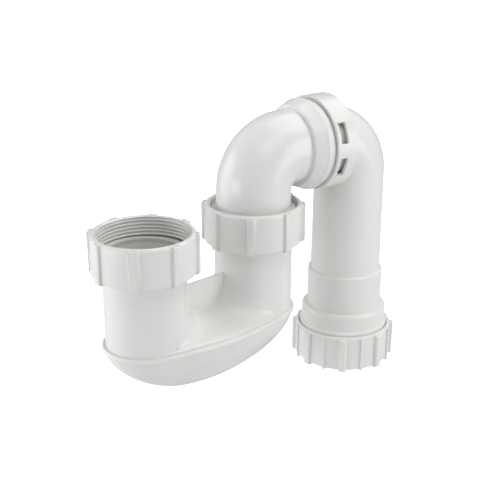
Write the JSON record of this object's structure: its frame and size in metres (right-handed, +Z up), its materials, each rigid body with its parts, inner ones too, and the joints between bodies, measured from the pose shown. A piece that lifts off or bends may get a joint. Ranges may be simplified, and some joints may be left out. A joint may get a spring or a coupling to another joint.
{
  "type": "combination s and p trap",
  "caption": "White plastic waste trap with a U-bend and bowl, union nuts, and an outlet of two swivelling elbows that turns down as an S trap or sideways as a P trap.",
  "frame": {"origin": "middle of the inlet nut's mouth, on the inlet leg's axis", "axes": "+Z up out of the inlet, +X from the inlet leg to the outlet leg"},
  "size_m": [0.2394, 0.0797, 0.1953],
  "materials": {
    "white_plastic": "smooth moulded gloss, faintly warm white",
    "seal_rubber": "soft pale grey, satin"
  },
  "bodies": {
    "trap": {"upper_body": "white_plastic", "lower_bowl": "white_plastic", "inlet_washer": "seal_rubber", "union_washer": "seal_rubber"},
    "inlet_union": {"inlet_nut": "white_plastic"},
    "outlet_union": {"union_nut": "white_plastic"},
    "first_elbow": {"swivel_elbow": "white_plastic", "swivel_seal": "seal_rubber"},
    "second_elbow": {"outlet_elbow": "white_plastic", "cone_seal": "seal_rubber", "slip_ring": "white_plastic"},
    "socket_nut": {"outlet_nut": "white_plastic"}
  },
  "joints": [
    {"name": "inlet_nut_spin", "type": "hinge", "parent": "trap", "child": "inlet_union", "pos_m": [0, 0, -0.0125], "axis": [0, 0, 1], "continuous": true},
    {"name": "union_nut_spin", "type": "hinge", "parent": "trap", "child": "outlet_union", "pos_m": [0.0874, 0, -0.0125], "axis": [0, 0, 1], "continuous": true},
    {"name": "elbow_swivel", "type": "hinge", "parent": "trap", "child": "first_elbow", "pos_m": [0.0874, 0, 0], "axis": [0, 0, 1], "range_deg": [-119, 131]},
    {"name": "outlet_swivel", "type": "hinge", "parent": "first_elbow", "child": "second_elbow", "pos_m": [0.13713, -0.00523, 0.0332], "axis": [0.9945, -0.1045, 0], "continuous": true},
    {"name": "outlet_nut_spin", "type": "hinge", "parent": "second_elbow", "child": "socket_nut", "pos_m": [0.16835, -0.00851, -0.1176], "axis": [0, 0, 1], "continuous": true}
  ]
}
